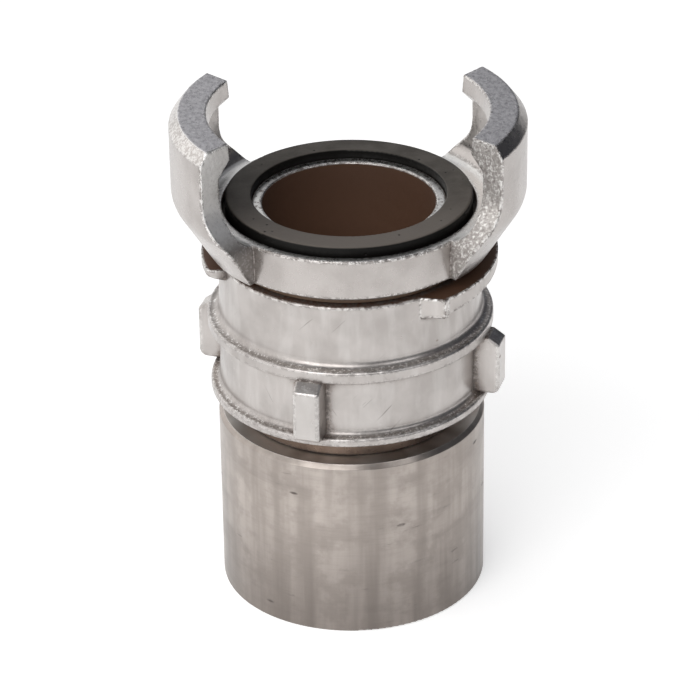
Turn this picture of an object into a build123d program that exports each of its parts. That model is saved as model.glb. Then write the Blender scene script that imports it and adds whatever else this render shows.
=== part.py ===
from build123d import *
import math
import os

os.makedirs("parts", exist_ok=True)

# A DN 50 symmetrical half coupling with a locking ring, for a crimped 2 inch hose.
# Z is the flow axis, z = 0 is the bottom of the ferrule, and the claws sit on +X and -X.
# Every turned outline is a list of (radius, height) corners; a third value rounds that corner.

# Driving dimensions (mm)
waterway_r = 25.0           # nominal bore of the coupling, DN 50
hose_r = 25.4               # inside radius of the hose, 2 inch
face_z = 121.8              # top of the rim, where the two halves meet
overall_h = 150.6           # top of the claws
contact_gap = 0.05          # clearance between faces that bear on each other
fit_gap = 0.1               # clearance of a part that sits still in its groove
free_gap = 0.35             # clearance between parts that move past each other
edge_round = 0.5            # machined edges
soft_round = 0.8            # cast edges
joint_depth = 1.5           # how far an attached shape reaches into its neighbour
margin = 5.0                # how far a cutting shape runs past what it cuts

# Head of the body: a rim around the seal groove
rim_r = 39.3
rim_wall_r = 36.5
rim_h = 11.9
head_z = face_z - rim_h
seat_r = waterway_r + 3.0
groove_floor_z = face_z - 5.8
groove_undercut = 0.8

# Claws of the body
claw_r = 51.0
claw_chamfer_r = 2.7
claw_chamfer_h = 3.5
claw_root_r = 41.0
claw_shoulder_z = 126.0
claw_heel_round = 8.0
hook_r = 40.2               # inner radius of the hook at the top
hook_tip_r = 39.6           # and at its lower edge
hook_throat_r = 44.0
hook_h = 5.2
hook_slope_h = 4.4          # height of the conical underside
hook_throat_round = 5.0
end_face_offset = 8.9       # distance from the axis to the 45 degree end faces
end_root_offset = -0.2      # the same distance at the foot of the flared ends
flare_top_z = face_z + 14.0
flare_foot_z = face_z - 4.0
end_edge_round = 0.4

# Neck of the body, which carries the locking ring
journal_r = 33.0
boss_r = 35.6
boss_z = head_z - 1.9
neck_z = 56.15
clip_groove_r = 31.0
clip_groove_z = 65.6
clip_groove_h = 2.15

# Hose shank of the body
shank_bore_r = 22.5
shank_z = 2.5
taper_low_z = 58.0          # the waterway widens from the shank to the head
taper_top_z = 66.0
taper_round = 6.0
barb_count = 6
barb_pitch = 6.6
barb_h = 0.9
barb_rise = 0.85            # share of the pitch over which a barb rises
barb_z = 4.0
collar_r = 32.0
collar_z = 45.5
collar_h = 4.3
collar_slope_h = 2.0
ferrule_groove_r = 30.7

# Locking ring
ring_z = 63.5
ring_top_z = 106.6
ring_bore_r = journal_r + contact_gap
ring_barrel_r = 38.4
ring_top_r = 37.8
ring_recess_r = 35.2
low_flange_r = 41.2
low_flange_h = 2.5
low_flange_round = 1.6
mid_flange_r = 41.7
mid_flange_z = 84.0
mid_flange_h = 3.8
mid_flange_round = 2.2
lug_count = 4
lug_angle = 71.8            # direction of the first lug, from -Y towards +X
lug_r = 45.8
lug_w = 7.8
lug_z = 66.4
lug_top_z = 84.6
lug_crest_r = 42.5          # the top slopes down outwards from here
lug_top_fall = 2.2
lug_top_rise = 0.4          # and up inwards
lug_foot_round = 2.4
lug_side_round = 0.9

# Locking lips on the ring, a wedge under each
lip_r = 42.9
lip_start = 28.0            # directions of the lip's two ends, from -Y towards +X
lip_end = 108.5
lip_end_round = 2.5         # plan radius at the thin end
lip_mid_h = 3.6             # height of the lip's outer edge half-way along
lip_tilt = 3.6              # slope of the wedge, in degrees
lip_cone_slope = 0.3        # fall of the underside towards the ring, per mm of radius
stop_block_end = 38.5       # direction in which the block at the thick end stops
stop_block_h = 5.9
stop_block_step = 0.3       # how far the block stands out past the lip
lead_in_angle = -14.0       # direction that the slanting lead-in face looks in
lead_in_reach = 27.4        # its distance from the axis

# Crimp ferrule
ferrule_r = 39.2
ferrule_h = 56.0
ferrule_bevel = 1.2
ferrule_wall = 3.0
ferrule_collar_z = 50.0
ferrule_mouth = 0.6
ridge_count = 6
ridge_pitch = 7.0
ridge_z = 4.0
ridge_h = 3.0
ridge_flank = 0.4
ridge_depth = 0.8

# Retaining clip and slide washer
clip_r = 34.7
clip_h = 1.95
clip_gap_angle = 14.0
wire_round = 0.2
washer_r = 35.3
washer_h = 1.0

# Face seal
seal_bore_r = seat_r + contact_gap
seal_r = 35.6
seal_proud = 2.6
seal_foot_h = 3.0


def outline(corners):
    """Closed flat outline through the corners, with the rounded ones filleted."""
    sketch = make_face(Polyline(*[corner[:2] for corner in corners], close=True))
    for corner in corners:
        if len(corner) == 3:
            vertex = sketch.vertices().sort_by_distance(Vector(*corner[:2]))[0]
            sketch = fillet(vertex, corner[2])
    return sketch


def turned(corners):
    """Solid of revolution about Z."""
    return revolve(Plane.XZ * outline(corners), Axis.Z)


def facing(angle):
    """Location that turns +X to a direction counted from -Y towards +X."""
    return Rot(0, 0, angle - 90)


def sector(start, end, reach, z_low, z_high):
    """Wedge of a round bar between two directions."""
    bar = CenterArc((0, 0), reach, start - 90, end - start)
    pie = make_face([Line((0, 0), bar @ 0), bar, Line(bar @ 1, (0, 0))])
    return Pos(0, 0, z_low) * extrude(pie, z_high - z_low)


def barbs():
    """Corners of the serrated shank, each barb rising away from the hose end."""
    corners = []
    for index in range(barb_count):
        low = barb_z + index * barb_pitch
        corners.append((hose_r, low))
        corners.append((hose_r + barb_h, low + barb_rise * barb_pitch))
    corners.append((hose_r, barb_z + barb_count * barb_pitch))
    return corners


def make_core():
    """Head, journal and hose shank of the body, turned about the axis."""
    clip_top = clip_groove_z + clip_groove_h
    collar_top = collar_z + collar_h
    undercut_r = rim_wall_r + groove_undercut
    undercut_z = groove_floor_z + seal_foot_h + free_gap
    corners = [(shank_bore_r, shank_z), (hose_r - barb_h, shank_z)]
    corners += barbs()
    corners += [
        (hose_r, collar_z - collar_slope_h), (collar_r, collar_z, soft_round), (collar_r, collar_top),
        (ferrule_groove_r, collar_top), (ferrule_groove_r, neck_z), (journal_r, neck_z, edge_round),
        (journal_r, clip_groove_z), (clip_groove_r, clip_groove_z), (clip_groove_r, clip_top),
        (journal_r, clip_top), (journal_r, boss_z), (boss_r, boss_z), (boss_r, head_z),
        (rim_r, head_z, edge_round), (rim_r, face_z, edge_round), (rim_wall_r, face_z, edge_round),
        (rim_wall_r, undercut_z), (undercut_r, undercut_z), (undercut_r, groove_floor_z),
        (seat_r, groove_floor_z), (seat_r, face_z, edge_round), (waterway_r, face_z, edge_round),
        (waterway_r, taper_top_z, taper_round), (shank_bore_r, taper_low_z, taper_round),
    ]
    return turned(corners)


def claw_ends():
    """Space that one claw fills: two 45 degree end faces that flare out at the foot."""
    reach = 2 * claw_r
    low_z = head_z - margin
    high_z = overall_h + margin
    flare_top = (-end_face_offset, flare_top_z)
    flare_foot = (-end_root_offset, flare_foot_z)
    flare = Spline(flare_top, flare_foot, tangents=[(0, -1), (0, -1)])
    rest = Polyline(
        flare_foot, (-end_root_offset, low_z), (-reach, low_z), (-reach, high_z),
        (-end_face_offset, high_z), flare_top,
    )
    side = Plane((0, 0, 0), x_dir=(-1, 1, 0), z_dir=(1, 1, 0)) * make_face([flare, rest])
    half = extrude(side, reach, both=True)
    return half & mirror(half, Plane.XZ)


def borders_end_face(edge):
    """True for a claw's outer edges that aren't circles about the axis."""
    middle = edge @ 0.5
    return abs(middle.Y) > 1 and math.hypot(middle.X, middle.Y) > rim_r


def make_claw():
    """Claw on the +X side: a wall that rises from the rim and hooks inwards."""
    root = rim_r - joint_depth
    hook_low_z = overall_h - hook_h
    corners = [
        (root, head_z), (claw_root_r, head_z, edge_round), (claw_r, claw_shoulder_z, claw_heel_round),
        (claw_r, overall_h - claw_chamfer_h, soft_round),
        (claw_r - claw_chamfer_r, overall_h, soft_round), (hook_r, overall_h, edge_round),
        (hook_tip_r, hook_low_z, soft_round), (hook_throat_r, hook_low_z - hook_slope_h, soft_round),
        (hook_throat_r, face_z, hook_throat_round), (root, face_z),
    ]
    claw = turned(corners) & claw_ends()
    return fillet(claw.edges().filter_by(borders_end_face), end_edge_round)


def make_body():
    """Cast body: head with two claws, journal and hose shank in one piece."""
    claw = make_claw()
    return make_core() + claw + Rot(0, 0, 180) * claw


def make_ring_barrel():
    """Sleeve of the locking ring with its two flanges."""
    low_top = ring_z + low_flange_h
    mid_top = mid_flange_z + mid_flange_h
    recess_top = clip_groove_z + fit_gap + clip_h + free_gap
    return turned([
        (ring_recess_r, ring_z), (low_flange_r, ring_z, edge_round), (low_flange_r, low_top, soft_round),
        (ring_barrel_r, low_top, low_flange_round), (ring_barrel_r, mid_flange_z, edge_round),
        (mid_flange_r, mid_flange_z, soft_round), (mid_flange_r, mid_top, soft_round),
        (ring_barrel_r, mid_top, mid_flange_round), (ring_top_r, ring_top_z, edge_round),
        (ring_bore_r, ring_top_z, edge_round), (ring_bore_r, recess_top), (ring_recess_r, recess_top),
    ])


def make_lug():
    """Spanner lug on the +X side, between the two flanges."""
    root = ring_barrel_r - joint_depth
    side = outline([
        (root, lug_z), (lug_r, lug_z, lug_foot_round), (lug_r, lug_top_z - lug_top_fall, soft_round),
        (lug_crest_r, lug_top_z, soft_round), (root, lug_top_z + lug_top_rise),
    ])
    lug = extrude(Plane.XZ * side, lug_w / 2, both=True)
    outer_edges = lug.edges().filter_by(Axis.Z).group_by(Axis.X)[-1]
    return fillet(outer_edges, lug_side_round)


def lip_plan():
    """Top view of the lip, with a large round at its thin end."""
    root = ring_top_r - joint_depth
    outer = CenterArc((0, 0), lip_r, lip_start - 90, lip_end - lip_start)
    inner = CenterArc((0, 0), root, lip_start - 90, lip_end - lip_start)
    plan = make_face([outer, Line(outer @ 1, inner @ 1), inner, Line(inner @ 0, outer @ 0)])
    return fillet(plan.vertices().sort_by_distance(outer @ 1)[0], lip_end_round)


def make_lip():
    """Locking lip: flat on top, with a tilted cone below, so it thins from start to end."""
    root = ring_top_r - joint_depth
    inside = root - margin
    beyond = lip_r + margin
    under_z = ring_top_z - lip_mid_h
    cone = turned([
        (inside, under_z - lip_cone_slope * (lip_r - inside)),
        (beyond, under_z + lip_cone_slope * (beyond - lip_r)),
        (beyond, ring_top_z + 2 * margin), (inside, ring_top_z + 2 * margin),
    ])
    pivot = facing((lip_start + lip_end) / 2) * Pos(0, 0, under_z)
    wedge = pivot * Rot(lip_tilt, 0, 0) * pivot.inverse() * cone
    slab = Pos(0, 0, ring_z) * extrude(lip_plan(), ring_top_z - ring_z)
    return slab & wedge


def make_stop_block():
    """Thick block that closes the lip's low end."""
    root = ring_top_r - joint_depth
    low = ring_top_z - stop_block_h
    block_r = lip_r + stop_block_step
    bar = turned([
        (root, low), (block_r, low, edge_round), (block_r, ring_top_z, edge_round), (root, ring_top_z),
    ])
    return bar & sector(0, stop_block_end, 2 * lip_r, ring_z, ring_top_z)


def make_grip():
    """One lip with its block, cut by the slanting lead-in face."""
    reach = 2 * lip_r
    behind_face = Pos(lead_in_reach - reach / 2, 0, ring_top_z) * Box(reach, reach, reach)
    return (make_lip() + make_stop_block()) & (facing(lead_in_angle) * behind_face)


def make_ring():
    """Locking ring: sleeve, four spanner lugs and two lips."""
    ring = make_ring_barrel()
    for index in range(lug_count):
        ring += facing(lug_angle + index * 360 / lug_count) * make_lug()
    grip = make_grip()
    return ring + grip + Rot(0, 0, 180) * grip


def make_seal():
    """Rubber face seal with a foot that snaps under the rim."""
    low = groove_floor_z + contact_gap
    top = face_z + seal_proud
    foot_r = rim_wall_r + groove_undercut - fit_gap
    return turned([
        (seal_bore_r, low), (foot_r, low, edge_round), (foot_r, low + seal_foot_h, edge_round),
        (seal_r, low + seal_foot_h), (seal_r, top, soft_round), (seal_bore_r, top, edge_round),
    ])


def make_clip():
    """Open spring clip in the journal's groove; it keeps the ring on the body."""
    low = clip_groove_z + fit_gap
    high = low + clip_h
    inner = clip_groove_r + fit_gap
    clip = turned([
        (inner, low), (clip_r, low, wire_round), (clip_r, high, wire_round), (inner, high),
    ])
    half_gap = clip_gap_angle / 2
    return clip - sector(-half_gap, half_gap, 2 * clip_r, low - margin, high + margin)


def make_washer():
    """Slide washer between the ring's top face and the boss under the head."""
    top = boss_z - contact_gap
    low = top - washer_h
    inner = journal_r + fit_gap
    return turned([(inner, low), (washer_r, low), (washer_r, top), (inner, top)])


def make_ferrule():
    """Crimp ferrule: a smooth sleeve whose collar is rolled into the body's groove."""
    inside_r = ferrule_r - ferrule_wall
    collar_bore_r = ferrule_groove_r + contact_gap
    corners = [
        (inside_r + ferrule_mouth, 0), (ferrule_r, 0, edge_round),
        (ferrule_r, ferrule_h - ferrule_bevel, edge_round), (ferrule_r - ferrule_bevel, ferrule_h),
        (collar_bore_r, ferrule_h), (collar_bore_r, ferrule_collar_z),
        (inside_r, ferrule_collar_z, soft_round),
    ]
    for index in reversed(range(ridge_count)):
        low = ridge_z + index * ridge_pitch
        corners.append((inside_r, low + ridge_h))
        corners.append((inside_r + ridge_depth, low + ridge_h - ridge_flank))
        corners.append((inside_r + ridge_depth, low + ridge_flank))
        corners.append((inside_r, low))
    return turned(corners)


parts = {
    "claw_body": make_body(),
    "face_seal": make_seal(),
    "locking_ring": make_ring(),
    "slide_washer": make_washer(),
    "retaining_clip": make_clip(),
    "crimp_ferrule": make_ferrule(),
}

for name, part in parts.items():
    export_step(part, f"parts/{name}.step")
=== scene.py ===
import math
from types import SimpleNamespace

import bpy
from mathutils import Matrix, Vector


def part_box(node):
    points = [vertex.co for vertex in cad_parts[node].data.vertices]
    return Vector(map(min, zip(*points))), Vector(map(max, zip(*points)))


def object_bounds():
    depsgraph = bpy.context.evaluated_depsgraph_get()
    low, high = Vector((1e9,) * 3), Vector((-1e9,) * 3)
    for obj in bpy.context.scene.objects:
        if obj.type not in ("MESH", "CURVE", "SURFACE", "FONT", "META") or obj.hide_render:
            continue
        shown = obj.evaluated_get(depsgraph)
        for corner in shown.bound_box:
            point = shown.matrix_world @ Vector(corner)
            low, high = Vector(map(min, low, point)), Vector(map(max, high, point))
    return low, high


# A stainless symmetrical hose coupling on a white table, in soft studio light.
# The CAD bodies are shown as they are; this script gives them their finishes,
# and sets the table, the lights and the camera.

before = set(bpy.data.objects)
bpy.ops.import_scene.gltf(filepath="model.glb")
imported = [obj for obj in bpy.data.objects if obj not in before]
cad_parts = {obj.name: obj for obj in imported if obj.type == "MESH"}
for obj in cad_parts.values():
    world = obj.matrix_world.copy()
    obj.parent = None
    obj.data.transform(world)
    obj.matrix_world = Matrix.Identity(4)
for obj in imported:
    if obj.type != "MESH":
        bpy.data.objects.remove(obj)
cad_low, cad_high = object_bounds()

# Colours of the bare metals and of painted shade, sheen and glints on them, linear RGB
CAST = (0.478, 0.448, 0.429)
CAST_DULL = (0.395, 0.367, 0.350)
CAST_DARK = (0.24, 0.222, 0.21)
# Painted shade, at the foot of the left claw's ends and on the right claw's bevel
CAST_FOOT_SHADE = (0.235, 0.216, 0.204)
CAST_BRIGHT = (0.93, 0.92, 0.90)
# Claw tops: grain colours, lightened and tinted blue as a painted reflection
CAST_TOP_SHEEN = (0.625, 0.614, 0.640)
CAST_TOP_SHEEN_DULL = (0.446, 0.440, 0.462)
TURNED = (0.46, 0.412, 0.378)
TURNED_DULL = (0.315, 0.278, 0.252)
# Tarnish of scratches and turning marks, also used as painted shade beside edges, in seams and
# at the sleeve's foot
TARNISH_AND_SHADE = (0.12, 0.104, 0.095)
# Grime in hollows and nicks, also used as painted shade in corners and under the ring
GRIME_AND_SHADE = (0.17, 0.125, 0.10)
# Painted shade and reflection: the bore's brown dark, also used under the body's head on the
# ring
BORE_SHADE = (0.090, 0.044, 0.025)
BORE_SHADE_DEEP = (0.130, 0.064, 0.036)

# Colours of the other materials
WIRE = (0.42, 0.41, 0.40)
WIRE_DULL = (0.28, 0.27, 0.26)
PTFE = (0.10, 0.062, 0.038)
PTFE_FLECK = (0.17, 0.11, 0.072)
RUBBER = (0.058, 0.051, 0.044)
RUBBER_BLOOM = (0.090, 0.081, 0.071)
# Painted sheen on the seal's front
RUBBER_SHEEN = (0.135, 0.118, 0.104)
# Painted shade on the seal's sides
RUBBER_SIDE_SHADE = (0.004, 0.0035, 0.003)
RUBBER_PIT = (0.008, 0.007, 0.006)
TABLE = (0.93, 0.93, 0.925)
TABLE_SHADE = (0.90, 0.90, 0.895)

# Light of the room, linear RGB, above 1 where it is brighter than white
ROOM_LEFT = (1.35, 1.34, 1.33)
ROOM_RIGHT = (0.08, 0.085, 0.10)
ROOM_CEILING = (0.10, 0.10, 0.11)
WHITE = (1.0, 1.0, 1.0)

# How sharply a surface turns within a bevel: less is a facet, more is an edge
FACET_TURN = 0.015
EDGE_TURN = 0.06

# Depth of the layer at a flat face that takes the finish of the face (metres)
FACE_SKIN = 0.0008


def radii(name, low, high):
    """Smallest and largest radius of a CAD node's points between two heights."""
    points = [vertex.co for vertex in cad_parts[name].data.vertices]
    reach = [point.xy.length for point in points if low <= point.z <= high]
    return min(reach), max(reach)


# Places on the object, worked out from the CAD nodes (metres)
height = cad_high.z
seal_low, seal_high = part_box("face_seal")
seal_bore_r = radii("face_seal", seal_low.z, seal_high.z)[0]
bore_r = radii("claw_body", seal_low.z, seal_high.z)[0]
seat_z = max(
    vertex.co.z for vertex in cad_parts["claw_body"].data.vertices
    if vertex.co.xy.length < seal_bore_r
)
ferrule_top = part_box("crimp_ferrule")[1].z
ferrule_r = radii("crimp_ferrule", 0, ferrule_top)[1]
ring_foot, ring_top = (corner.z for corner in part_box("locking_ring"))
lug_r = radii("locking_ring", ring_foot, ring_top)[1]
barrel_r = 0.9 * lug_r


class Graph:
    """A node tree being made, with a short call for each kind of node it uses."""

    def __init__(self, tree, coordinates):
        self.nodes = tree.nodes
        self.links = tree.links
        self.place = self.nodes.new("ShaderNodeTexCoord").outputs[coordinates]
        split = self.nodes.new("ShaderNodeSeparateXYZ")
        self.links.new(self.place, split.inputs[0])
        self.x, self.y, self.z = split.outputs

    def put(self, value, socket):
        """Links a socket, or sets a plain value."""
        if isinstance(value, bpy.types.NodeSocket):
            self.links.new(value, socket)
        else:
            socket.default_value = value

    def sum(self, operation, *values):
        """Arithmetic on numbers."""
        node = self.nodes.new("ShaderNodeMath")
        node.operation = operation
        for value, socket in zip(values, node.inputs):
            self.put(value, socket)
        return node.outputs[0]

    def times(self, first, *others):
        """Product of two or more numbers."""
        for other in others:
            first = self.sum("MULTIPLY", first, other)
        return first

    def without(self, mask):
        """1 where a mask is 0, and 0 where it is 1."""
        return self.sum("SUBTRACT", 1.0, mask)

    def vector(self, operation, *values, output="Vector"):
        """Arithmetic on vectors."""
        node = self.nodes.new("ShaderNodeVectorMath")
        node.operation = operation
        for value, socket in zip(values, node.inputs):
            self.put(value, socket)
        return node.outputs[output]

    def ramp(self, value, start, end):
        """0 where the value is at start, 1 where it is at end, smooth between."""
        node = self.nodes.new("ShaderNodeMapRange")
        node.interpolation_type = "SMOOTHSTEP"
        self.put(value, node.inputs["Value"])
        node.inputs["From Min"].default_value = start
        node.inputs["From Max"].default_value = end
        return node.outputs["Result"]

    def between(self, value, low, high):
        """Any number between low and high, by a value from 0 to 1."""
        node = self.nodes.new("ShaderNodeMapRange")
        self.put(value, node.inputs["Value"])
        node.inputs["To Min"].default_value = low
        node.inputs["To Max"].default_value = high
        return node.outputs["Result"]

    def blend(self, amount, first, second):
        """Colour between two colours."""
        node = self.nodes.new("ShaderNodeMix")
        node.data_type = "RGBA"
        self.put(amount, node.inputs["Factor"])
        ends = [socket for socket in node.inputs if socket.type == "RGBA"]
        for value, socket in zip((first, second), ends):
            self.put((*value, 1.0) if isinstance(value, tuple) else value, socket)
        return next(socket for socket in node.outputs if socket.type == "RGBA")


class Finish(Graph):
    """A material, with the patterns and masks that its colour, gloss and bumps use."""

    def __init__(self, name, **uniform):
        self.material = bpy.data.materials.new(name)
        self.material.use_nodes = True
        super().__init__(self.material.node_tree, "Object")
        self.surface = self.nodes["Principled BSDF"]
        for socket, value in uniform.items():
            self.surface.inputs[socket.replace("_", " ")].default_value = value
        flat = self.nodes.new("ShaderNodeCombineXYZ")
        self.links.new(self.x, flat.inputs["X"])
        self.links.new(self.y, flat.inputs["Y"])
        self.flat = flat.outputs[0]
        self.radius = self.vector("LENGTH", self.flat, output="Value")
        self.normal = self.nodes.new("ShaderNodeNewGeometry").outputs["Normal"]
        self.upward = self.facing((0.0, 0.0, 1.0))
        self.spoke = self.vector("NORMALIZE", self.flat)
        self.outward = self.facing(self.spoke)

    def height_of(self, direction):
        """Z part of a direction."""
        return self.vector("DOT_PRODUCT", direction, (0.0, 0.0, 1.0), output="Value")

    def facing(self, direction):
        """How far the surface faces along a direction, from -1 to 1."""
        return self.vector("DOT_PRODUCT", self.normal, direction, output="Value")

    def noise(self, size, detail=2.0, stretch=(1, 1, 1), contrast=0.5, place=None):
        """Noise from 0 to 1 with features about size across."""
        node = self.nodes.new("ShaderNodeTexNoise")
        node.inputs["Scale"].default_value = 1.0
        node.inputs["Detail"].default_value = detail
        node.inputs["Roughness"].default_value = contrast
        scale = tuple(1 / (size * part) for part in stretch)
        place = self.place if place is None else place
        self.links.new(self.vector("MULTIPLY", place, scale), node.inputs["Vector"])
        return node.outputs["Fac"]

    def specks(self, size, share, stretch=(1, 1, 1)):
        """Small spots about size metres apart, each covering a share of its cell."""
        node = self.nodes.new("ShaderNodeTexVoronoi")
        node.inputs["Scale"].default_value = 1.0
        scale = tuple(1 / (size * part) for part in stretch)
        self.links.new(self.vector("MULTIPLY", self.place, scale), node.inputs["Vector"])
        return self.ramp(node.outputs["Distance"], share, 0.4 * share)

    def scratches(self, radius, lean, share, length=0.012, width=0.0007):
        """Long thin marks on a turned face, leaning by an angle from the horizontal."""
        turn = self.sum("ARCTAN2", self.y, self.x)
        around = self.sum("MULTIPLY", turn, radius)
        flat = self.nodes.new("ShaderNodeCombineXYZ")
        self.put(around, flat.inputs["X"])
        self.put(self.z, flat.inputs["Y"])
        right = (math.cos(lean), math.sin(lean), 0)
        up = (-math.sin(lean), math.cos(lean), 0)
        along = self.vector("DOT_PRODUCT", flat.outputs[0], right, output="Value")
        across = self.vector("DOT_PRODUCT", flat.outputs[0], up, output="Value")
        lane = self.nodes.new("ShaderNodeCombineXYZ")
        self.put(self.sum("DIVIDE", along, length), lane.inputs["X"])
        self.put(self.sum("DIVIDE", across, width), lane.inputs["Y"])
        node = self.nodes.new("ShaderNodeTexNoise")
        node.inputs["Scale"].default_value = 1.0
        self.links.new(lane.outputs[0], node.inputs["Vector"])
        return self.ramp(node.outputs["Fac"], share, share + 0.05)

    def rounded(self, radius):
        """Normal of the surface as if its edges were rounded."""
        node = self.nodes.new("ShaderNodeBevel")
        node.samples = 6
        node.inputs["Radius"].default_value = radius
        return node.outputs[0]

    def edges(self, radius, start, end):
        """1 within about a radius of an edge, 0 on faces."""
        turn = self.vector("DOT_PRODUCT", self.rounded(radius), self.normal, output="Value")
        return self.ramp(turn, 1 - start, 1 - end)

    def hollows(self, reach, start, end):
        """1 deep in corners and gaps, 0 in the open."""
        node = self.nodes.new("ShaderNodeAmbientOcclusion")
        node.samples = 8
        node.inputs["Distance"].default_value = reach
        return self.ramp(node.outputs["AO"], start, end)

    def bump(self, height, depth, below=None):
        """Raises the surface by up to depth metres where the height is 1."""
        node = self.nodes.new("ShaderNodeBump")
        node.inputs["Strength"].default_value = 1.0
        node.inputs["Distance"].default_value = depth
        self.links.new(height, node.inputs["Height"])
        if below is not None:
            self.links.new(below, node.inputs["Normal"])
        return node.outputs[0]

    def done(self, colour, roughness, normal):
        """Connects the finish to the surface and returns the material."""
        self.put(colour, self.surface.inputs["Base Color"])
        self.put(roughness, self.surface.inputs["Roughness"])
        self.put(normal, self.surface.inputs["Normal"])
        return self.material


def worn_edges(f):
    """Masks of the bright chips along a casting's edges, partly wear and partly painted glints,
    and of the painted shade beside them.
    """
    chip_size = 0.0014
    chip_reach = 0.0013
    edge_shade_reach = 0.0018
    chips = f.ramp(f.noise(chip_size, detail=3.0, contrast=0.7), 0.44, 0.53)
    convex = f.hollows(0.003, 0.72, 0.94)
    rubbed = f.between(f.ramp(f.height_of(f.rounded(chip_reach)), -0.6, 0.1), 0.10, 1.0)
    # Bright chips: worn edges, partly painted glints, most on edges that face up
    bright = f.times(f.edges(chip_reach, FACET_TURN, EDGE_TURN), convex, chips, rubbed)
    # Painted shade along the edges, broken where the chips are
    dark = f.times(f.edges(edge_shade_reach, FACET_TURN, EDGE_TURN), f.without(chips))
    return bright, dark


def claw_faces(f):
    """Masks of the claws' upright ends, the blasted part of them with painted glints, their
    bevels and tops.
    """
    bevel_foot = height - 0.012
    sideways = f.ramp(f.sum("ABSOLUTE", f.outward), 0.8, 0.45)
    upright = f.ramp(f.sum("ABSOLUTE", f.upward), 0.995, 0.96)
    ends = f.ramp(f.times(sideways, upright), 0.4, 0.9)
    # Blasted skin, weighted four times more on the right claw: the side difference is painted
    # light
    blasted_and_glints = f.times(ends, f.between(f.ramp(f.x, -0.02, 0.02), 0.25, 1.0))
    sloping = f.times(f.ramp(f.upward, 0.15, 0.30), f.ramp(f.upward, 0.90, 0.80))
    bevels = f.times(sloping, f.ramp(f.outward, 0.2, 0.4),
                     f.ramp(f.z, bevel_foot, bevel_foot + 0.003))
    level = f.ramp(f.upward, 0.85, 0.95)
    tops = f.times(f.ramp(f.z, height - 0.0025, height - FACE_SKIN), level)
    return SimpleNamespace(ends=ends, blasted_and_glints=blasted_and_glints, bevels=bevels, tops=tops)


def claw_colours(f, colour, claws, grain, grit):
    """Ends of the left claw painted bright with painted shade at their foot, those of the right
    one blasted with painted glints, the left bevel a painted highlight and the right one painted
    shade, tops grainy with a painted sheen.
    """
    left_claw = f.ramp(f.x, 0.01, -0.01)
    right_claw = f.ramp(f.x, -0.01, 0.01)
    # The left claw's ends painted bright, a painted highlight, with painted shade towards their
    # foot
    left_ends_painted_light = f.times(claws.ends, left_claw, 0.8)
    end_foot_painted_shade = f.ramp(f.z, seat_z + 0.006, seat_z)
    # Painted highlight on the left claw's bevel, broken by grit, and painted shade on the right
    # claw's bevel
    bevel_painted_highlight = f.times(claws.bevels, left_claw, f.ramp(grit, 0.42, 0.56), 0.45)
    bevel_painted_shade = f.times(claws.bevels, right_claw, 0.6)
    colour = f.blend(left_ends_painted_light, colour, f.blend(end_foot_painted_shade, CAST_BRIGHT, CAST_FOOT_SHADE))
    colour = f.blend(bevel_painted_highlight, colour, CAST_BRIGHT)
    colour = f.blend(bevel_painted_shade, colour, CAST_FOOT_SHADE)
    # Bright and dark grit specks of the blasted ends, partly painted glints
    colour = f.blend(f.times(claws.blasted_and_glints, f.ramp(grit, 0.51, 0.62), 0.72), colour, CAST_BRIGHT)
    colour = f.blend(f.times(claws.blasted_and_glints, f.ramp(grit, 0.46, 0.36), 0.7), colour, CAST_DARK)
    # Grainy tops, lightened and tinted blue as a painted reflection
    top = f.blend(f.ramp(grain, 0.38, 0.62), CAST_TOP_SHEEN_DULL, CAST_TOP_SHEEN)
    top = f.blend(f.times(f.ramp(grit, 0.62, 0.72), 0.8), top, CAST_BRIGHT)
    return f.blend(claws.tops, colour, top)


def seat_colours(f, colour):
    """Bright level faces on both sides of the seal, with dull pits on the inner one."""
    off_seat = f.sum("ABSOLUTE", f.sum("SUBTRACT", f.z, seat_z))
    on_seat = f.times(f.ramp(off_seat, FACE_SKIN, FACE_SKIN / 2), f.ramp(f.upward, 0.85, 0.95))
    inside = f.ramp(f.radius, seal_bore_r + 0.001, seal_bore_r + 0.0005)
    pits = f.times(inside, f.ramp(f.noise(0.0013, detail=2.0), 0.46, 0.36))
    return f.blend(on_seat, colour, f.blend(pits, CAST_BRIGHT, CAST_DULL))


def cast_relief(f, wave_size, wave_depth, skin, skin_depth, nicks):
    """Normal of a casting: rounded edges, long waves, a rough skin and nicks."""
    waves = f.bump(f.noise(wave_size), depth=wave_depth, below=f.rounded(0.0006))
    rough = f.bump(skin, depth=skin_depth, below=waves)
    return f.bump(nicks, depth=0.00035, below=rough)


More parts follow.
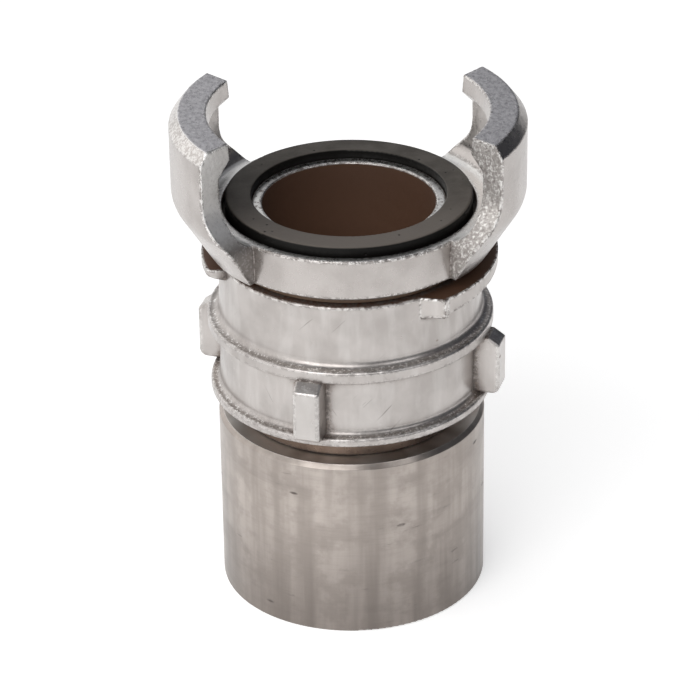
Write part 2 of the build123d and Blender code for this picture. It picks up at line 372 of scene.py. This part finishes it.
def cast_steel():
    """Tumbled investment casting: rough on the claw ends, worn bright on the edges, with painted
    glints, painted shade and a painted brown bore.
    """
    f = Finish("cast_steel")
    patches = f.noise(0.014, detail=4.0)
    grain = f.noise(0.0016, detail=4.0, contrast=0.65)
    grit = f.noise(0.0010, detail=3.0, contrast=0.8)
    claws = claw_faces(f)
    bright, dark = worn_edges(f)
    # Hollows: grime, and painted shade where shade falls in them
    crevice = f.hollows(0.006, 0.62, 0.25)
    in_bore = f.times(f.ramp(f.radius, bore_r + 0.0005, bore_r + 0.0002),
                      f.ramp(f.z, seat_z - 0.0003, seat_z - 0.0007))
    # Where the painted bore shade and the grime and shade of the hollows lie: less metallic,
    # rougher
    bore_and_crevice_shade = f.sum("MAXIMUM", in_bore, f.times(crevice, 0.8))

    colour = f.blend(f.ramp(patches, 0.35, 0.65), CAST, CAST_DULL)
    colour = claw_colours(f, colour, claws, grain, grit)
    colour = seat_colours(f, colour)
    colour = f.blend(crevice, colour, GRIME_AND_SHADE)
    # Painted shade on the body below the ring's foot
    colour = f.blend(f.ramp(f.z, ring_foot + 0.002, ring_foot - 0.002), colour, GRIME_AND_SHADE)
    # Painted shade beside the edges, then the bright edges, partly painted glints
    colour = f.blend(f.times(dark, 0.85), colour, TARNISH_AND_SHADE)
    colour = f.blend(bright, colour, CAST_BRIGHT)
    # Painted shade and reflection: the bore darkened brown, a little lighter further down
    bore_shade = f.blend(f.ramp(f.z, seat_z, seat_z - bore_r), BORE_SHADE, BORE_SHADE_DEEP)
    colour = f.blend(in_bore, colour, bore_shade)

    f.put(f.without(bore_and_crevice_shade), f.surface.inputs["Metallic"])
    roughness = f.between(grain, 0.20, 0.38)
    roughness = f.sum("ADD", roughness, f.times(claws.ends, 0.20))
    roughness = f.sum("SUBTRACT", roughness, f.times(bright, 0.10))
    roughness = f.sum("ADD", roughness, f.times(bore_and_crevice_shade, 0.35))
    rough_part = f.between(f.sum("MAXIMUM", claws.blasted_and_glints, claws.tops), 0.04, 1.0)
    relief = cast_relief(f, wave_size=0.004, wave_depth=0.00014,
                         skin=f.times(grit, rough_part), skin_depth=0.00018,
                         nicks=f.times(bright, grit))
    return f.done(colour, roughness, relief)


def ring_grime_and_shade(f, grain, grit):
    """Masks of the grime and painted shade on the ring, of the painted shade in the seams and of
    the painted shade under the body's head.
    """
    film_foot = ring_top - 0.012
    patchy = f.between(f.ramp(grain, 0.58, 0.42), 0.5, 0.95)
    roots = f.times(f.hollows(0.0045, 0.86, 0.56), patchy)
    seam_shade = f.times(f.hollows(0.003, 0.86, 0.70), f.ramp(grit, 0.56, 0.44))
    under_head_shade = f.times(f.ramp(f.z, film_foot, film_foot + 0.001),
                         f.ramp(f.upward, 0.70, 0.85))
    return f.sum("MAXIMUM", roots, under_head_shade), seam_shade, under_head_shade


def ring_steel():
    """The ring's casting, smoother than the body, with grime and painted shade in the flange
    roots and painted glints on its upward faces.
    """
    f = Finish("ring_steel")
    patches = f.noise(0.012, detail=4.0)
    grain = f.noise(0.0016, detail=4.0, contrast=0.65)
    grit = f.noise(0.0010, detail=3.0, contrast=0.8)
    brushed = f.noise(0.004, detail=4.0, stretch=(1, 1, 5))
    bright, dark = worn_edges(f)
    crevice, seam_shade, under_head_shade = ring_grime_and_shade(f, grain, grit)
    up = f.times(f.ramp(f.upward, 0.75, 0.95), f.without(crevice))
    worn_face = f.ramp(f.radius, 0.965 * lug_r, 0.985 * lug_r)
    nick = f.specks(0.0075, 0.08, stretch=(1.6, 1.6, 1))
    marks = f.sum("MAXIMUM", f.scratches(barrel_r, math.radians(42), 0.70),
                  f.scratches(barrel_r, math.radians(-55), 0.72))

    colour = f.blend(f.ramp(patches, 0.35, 0.65), CAST, CAST_DULL)
    colour = f.blend(f.times(f.ramp(brushed, 0.45, 0.65), 0.10), colour, CAST_BRIGHT)
    colour = f.blend(f.times(worn_face, 0.18), colour, CAST_BRIGHT)
    # Grime and painted shade in the flange roots
    colour = f.blend(crevice, colour, GRIME_AND_SHADE)
    # Painted shade on the upward faces under the body's head
    colour = f.blend(under_head_shade, colour, BORE_SHADE)
    # Painted shade broken into dashes along the seams
    colour = f.blend(f.times(seam_shade, 0.85), colour, TARNISH_AND_SHADE)
    colour = f.blend(nick, colour, GRIME_AND_SHADE)
    # Painted glints on the upward faces
    colour = f.blend(f.times(up, f.ramp(grit, 0.53, 0.60)), colour, CAST_BRIGHT)
    colour = f.blend(f.times(marks, 0.45), colour, TARNISH_AND_SHADE)
    # Painted shade beside the edges, then the bright edges, partly painted glints
    colour = f.blend(f.times(dark, 0.85), colour, TARNISH_AND_SHADE)
    colour = f.blend(bright, colour, CAST_BRIGHT)

    f.put(f.between(crevice, 1.0, 0.2), f.surface.inputs["Metallic"])
    roughness = f.between(grain, 0.22, 0.40)
    rougher = f.sum("MAXIMUM", f.times(up, 0.4), crevice)
    roughness = f.sum("ADD", roughness, f.times(rougher, 0.25))
    relief = cast_relief(f, wave_size=0.005, wave_depth=0.00012,
                         skin=f.times(grit, f.between(up, 0.3, 1.0)), skin_depth=0.00009,
                         nicks=f.times(bright, grain))
    return f.done(colour, roughness, relief)


def turned_steel():
    """Satin turned sleeve: fine lines round the axis, a few handling marks, painted reflection
    streaks, painted glints on its edges and painted shade towards the bottom.
    """
    f = Finish("turned_steel", Metallic=1.0, Anisotropic=0.6, Anisotropic_Rotation=0.25)
    lines = f.noise(0.0005, detail=3.0, stretch=(18, 18, 1))
    bands = f.noise(0.005, detail=4.0, stretch=(5, 5, 1))
    reflection_streaks = f.noise(0.005, detail=4.0, stretch=(1, 1, 16))
    worn_and_glint = f.edges(0.0006, 0.02, 0.2)
    patches = f.noise(0.009, detail=5.0, contrast=0.6)
    side = f.ramp(f.upward, 0.5, 0.1)
    nick = f.sum("MAXIMUM", f.specks(0.006, 0.10, stretch=(3.0, 3.0, 1)),
                 f.times(f.scratches(ferrule_r, math.radians(4), 0.70), 0.5))
    nick = f.times(nick, side, f.ramp(patches, 0.40, 0.55))
    foot_shade = f.ramp(f.z, 0.75 * ferrule_top, 0.0)

    # Painted reflection: vertical light and dark streaks
    colour = f.blend(f.ramp(reflection_streaks, 0.3, 0.7), TURNED, TURNED_DULL)
    colour = f.blend(f.times(f.ramp(patches, 0.42, 0.62), 0.7), colour, TURNED_DULL)
    colour = f.blend(f.times(f.ramp(bands, 0.5, 0.7), 0.12), colour, TARNISH_AND_SHADE)
    colour = f.blend(f.times(f.ramp(lines, 0.45, 0.75), 0.08), colour, TARNISH_AND_SHADE)
    # Painted shade, darker towards the bottom, broken by the streaks
    colour = f.blend(f.times(foot_shade, f.between(reflection_streaks, 0.42, 0.78)), colour, TARNISH_AND_SHADE)
    spokes = f.noise(0.25, detail=1.0, place=f.spoke)
    # Painted reflection: radial light streaks on the top face
    collar_reflection = f.times(f.ramp(f.upward, 0.90, 0.98),
                     f.between(f.ramp(spokes, 0.35, 0.65), 0.30, 0.75))
    colour = f.blend(collar_reflection, colour, CAST_BRIGHT)
    colour = f.blend(nick, colour, TARNISH_AND_SHADE)
    # Worn edges, partly painted glints
    colour = f.blend(worn_and_glint, colour, CAST_BRIGHT)

    tangent = f.nodes.new("ShaderNodeTangent")
    tangent.direction_type = "RADIAL"
    tangent.axis = "Z"
    f.put(tangent.outputs[0], f.surface.inputs["Tangent"])
    turned = f.bump(lines, depth=0.00003)
    marks = f.bump(nick, depth=-0.00015, below=turned)
    return f.done(colour, f.between(bands, 0.28, 0.42), marks)


def seal_rubber():
    """Moulded nitrile rubber with small pits, a bloom, a painted sheen towards the front and
    painted shade on its sides.
    """
    f = Finish("seal_rubber", Specular_IOR_Level=0.15)
    bloom = f.noise(0.006, detail=4.0)
    pit = f.specks(0.0040, 0.12)
    fine = f.noise(0.0009, detail=3.0)
    up = f.ramp(f.upward, 0.5, 0.95)
    colour = f.blend(f.ramp(bloom, 0.3, 0.7), RUBBER, RUBBER_BLOOM)
    # Painted sheen, lighter towards the front
    colour = f.blend(f.ramp(f.y, 0.010, -0.035), colour, RUBBER_SHEEN)
    # Painted shade on the sides
    colour = f.blend(up, RUBBER_SIDE_SHADE, colour)
    colour = f.blend(pit, colour, RUBBER_PIT)
    roughness = f.between(fine, 0.40, 0.60)
    skin = f.bump(fine, depth=0.00004)
    pits = f.bump(pit, depth=-0.0002, below=skin)
    return f.done(colour, roughness, pits)


def bearing_plastic():
    """Bronze-filled PTFE of the slide washer."""
    f = Finish("bearing_plastic")
    flecks = f.noise(0.0004, detail=3.0)
    colour = f.blend(flecks, PTFE, PTFE_FLECK)
    skin = f.bump(flecks, depth=0.00002)
    return f.done(colour, f.between(flecks, 0.35, 0.5), skin)


def spring_steel():
    """Drawn spring wire steel, darkened by heat treatment."""
    f = Finish("spring_steel", Metallic=1.0)
    drawn = f.noise(0.0003, detail=2.0, stretch=(8, 8, 1))
    colour = f.blend(drawn, WIRE_DULL, WIRE)
    skin = f.bump(drawn, depth=0.00002)
    return f.done(colour, f.between(drawn, 0.28, 0.42), skin)


def paint_nodes():
    """Gives every CAD node its finish."""
    finishes = {
        "claw_body": cast_steel(),
        "locking_ring": ring_steel(),
        "crimp_ferrule": turned_steel(),
        "face_seal": seal_rubber(),
        "slide_washer": bearing_plastic(),
        "retaining_clip": spring_steel(),
    }
    for name, material in finishes.items():
        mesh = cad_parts[name].data
        mesh.materials.clear()
        mesh.materials.append(material)


def make_table():
    """Wide white light table under the object."""
    reach = 40 * height
    corners = [(-reach, -reach, 0), (reach, -reach, 0), (reach, reach, 0), (-reach, reach, 0)]
    mesh = bpy.data.meshes.new("table_top")
    mesh.from_pydata(corners, [], [(0, 1, 2, 3)])
    table = bpy.data.objects.new("table_top", mesh)
    bpy.context.scene.collection.objects.link(table)
    f = Finish("table_white", Emission_Color=(*WHITE, 1.0))
    glow = f.between(f.ramp(f.x, -2 * height, 2 * height), 0.52, 0.45)
    f.put(glow, f.surface.inputs["Emission Strength"])
    shade = f.noise(0.3, detail=1.0)
    colour = f.blend(shade, TABLE_SHADE, TABLE)
    mesh.materials.append(f.done(colour, 0.9, f.bump(shade, depth=0.00002)))


def add_softbox(name, place, width, power):
    """Square softbox that faces the object."""
    light = bpy.data.lights.new(name, "AREA")
    light.size = width
    light.energy = power
    light.color = WHITE
    lamp = bpy.data.objects.new(name, light)
    bpy.context.scene.collection.objects.link(lamp)
    lamp.location = place
    aim = Vector((0, 0, height / 2)) - Vector(place)
    lamp.rotation_euler = aim.to_track_quat("-Z", "Y").to_euler()
    lamp.visible_camera = False


def light_the_room():
    """Room around the table: bright on the left, dark on the right and overhead."""
    world = bpy.data.worlds.new("studio")
    world.use_nodes = True
    g = Graph(world.node_tree, "Generated")
    colour = g.blend(g.ramp(g.x, -0.7, 0.5), ROOM_LEFT, ROOM_RIGHT)
    colour = g.blend(g.ramp(g.z, 0.70, 0.95), colour, ROOM_CEILING)
    g.put(colour, g.nodes["Background"].inputs["Color"])
    bpy.context.scene.world = world


def light_the_studio():
    """Two softboxes above the camera, and the room."""
    add_softbox("key", place=(-0.40, -0.90, 1.05), width=0.9, power=7.0)
    add_softbox("fill", place=(0.70, -0.70, 0.95), width=0.6, power=1.9)
    light_the_room()
    bpy.context.scene.view_settings.view_transform = "Standard"


def make_camera():
    """Long lens in front of the coupling, a little to its left and looking down."""
    elevation = math.radians(28.57)
    heading = math.radians(-1.5)
    roll = math.radians(-0.77)
    distance = 1.0474
    lens = 183.5
    aim = Vector((-0.0003, 0, 0.483 * height))
    back = Vector((0, -math.cos(elevation), math.sin(elevation)))
    turn = Matrix.Rotation(heading, 3, "Z")
    camera = bpy.data.objects.new("camera", bpy.data.cameras.new("camera"))
    bpy.context.scene.collection.objects.link(camera)
    camera.location = turn @ (aim + distance * back)
    level = (-back).to_track_quat("-Z", "Y").to_matrix()
    camera.rotation_euler = (turn @ level @ Matrix.Rotation(roll, 3, "Z")).to_euler()
    camera.data.lens = lens
    camera.data.sensor_width = 36.0
    bpy.context.scene.camera = camera


paint_nodes()
make_table()
light_the_studio()
make_camera()
